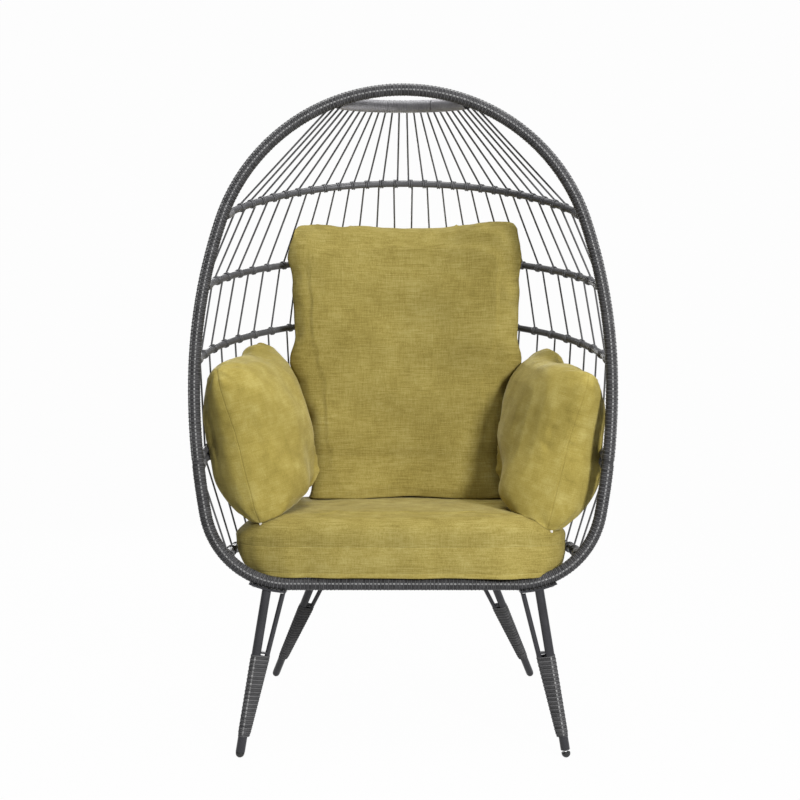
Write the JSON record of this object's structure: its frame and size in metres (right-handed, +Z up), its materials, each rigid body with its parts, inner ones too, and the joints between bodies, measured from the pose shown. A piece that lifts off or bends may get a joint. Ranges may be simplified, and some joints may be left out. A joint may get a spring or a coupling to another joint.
{
  "type": "egg chair",
  "caption": "Free-standing garden egg chair with an open cord shell on a leaning oval hoop, loose cushions and splayed V legs with levelling feet.",
  "frame": {"origin": "centre of the chair's footprint, on the floor", "axes": "+Z up, the chair faces -Y, +X towards the right as seen from the front"},
  "size_m": [0.95, 0.6093, 1.479],
  "materials": {
    "frame_paint": "semi-gloss powder coat",
    "wicker": "flat woven plastic strip",
    "cord": "round plastic cord",
    "fasteners": "zinc plated",
    "plug_plastic": "moulded",
    "foot_plastic": "moulded, domed",
    "cushion_cloth": "woven slub cloth",
    "pillow_cloth": "soft pile cloth"
  },
  "bodies": {
    "frame": {"upper_hoop": "frame_paint", "lower_hoop": "frame_paint", "upper_hoop_wicker": "wicker", "lower_hoop_wicker": "wicker", "hoop_spigots": "fasteners", "hoop_bolts": "fasteners", "crown_bar": "frame_paint", "crown_winding": "cord", "top_rib": "frame_paint", "second_rib": "frame_paint", "third_rib": "frame_paint", "upper_rail": "frame_paint", "lower_rail": "frame_paint", "rail_bolts": "fasteners", "seat_rail": "frame_paint", "rear_seat_bar": "frame_paint", "seat_bars": "frame_paint", "seat_cords": "cord", "shell_cords_1": "cord", "shell_cords_2": "cord", "shell_cords_3": "cord", "shell_cords_4": "cord", "shell_cords_5": "cord", "front_left_leg": "frame_paint", "front_right_leg": "frame_paint", "rear_left_leg": "frame_paint", "rear_right_leg": "frame_paint", "front_left_wicker": "wicker", "front_right_wicker": "wicker", "rear_left_wicker": "wicker", "rear_right_wicker": "wicker", "leg_bolts": "fasteners", "foot_plugs": "plug_plastic"},
    "front_left_foot": {"front_left_foot": "foot_plastic"},
    "front_right_foot": {"front_right_foot": "foot_plastic"},
    "rear_left_foot": {"rear_left_foot": "foot_plastic"},
    "rear_right_foot": {"rear_right_foot": "foot_plastic"},
    "seat_cushion": {"seat_cushion": "cushion_cloth"},
    "back_cushion": {"back_cushion": "cushion_cloth"},
    "left_pillow": {"left_pillow": "pillow_cloth"},
    "right_pillow": {"right_pillow": "pillow_cloth"}
  },
  "joints": [
    {"name": "front_left_screw", "type": "slide", "parent": "frame", "child": "front_left_foot", "axis": [-0.1521, -0.0794, -0.9852], "range_m": [0, 0.012]},
    {"name": "front_right_screw", "type": "slide", "parent": "frame", "child": "front_right_foot", "axis": [0.1521, -0.0794, -0.9852], "range_m": [-0.005, 0.008]},
    {"name": "rear_left_screw", "type": "slide", "parent": "frame", "child": "rear_left_foot", "axis": [-0.345, 0.4153, -0.8417], "range_m": [0, 0.012]},
    {"name": "rear_right_screw", "type": "slide", "parent": "frame", "child": "rear_right_foot", "axis": [0.345, 0.4153, -0.8417], "range_m": [0, 0.012]},
    {"name": "seat_lift", "type": "slide", "parent": "frame", "child": "seat_cushion", "axis": [0, -0.9703, 0.2419], "range_m": [0, 0.6]},
    {"name": "back_lift", "type": "slide", "parent": "seat_cushion", "child": "back_cushion", "axis": [0, -0.9982, 0.0599], "range_m": [0, 0.6]},
    {"name": "left_pillow_lift", "type": "slide", "parent": "back_cushion", "child": "left_pillow", "axis": [0.2381, -0.9524, 0.1905], "range_m": [0, 0.45]},
    {"name": "right_pillow_lift", "type": "slide", "parent": "back_cushion", "child": "right_pillow", "axis": [-0.2381, -0.9524, 0.1905], "range_m": [0, 0.45]}
  ]
}
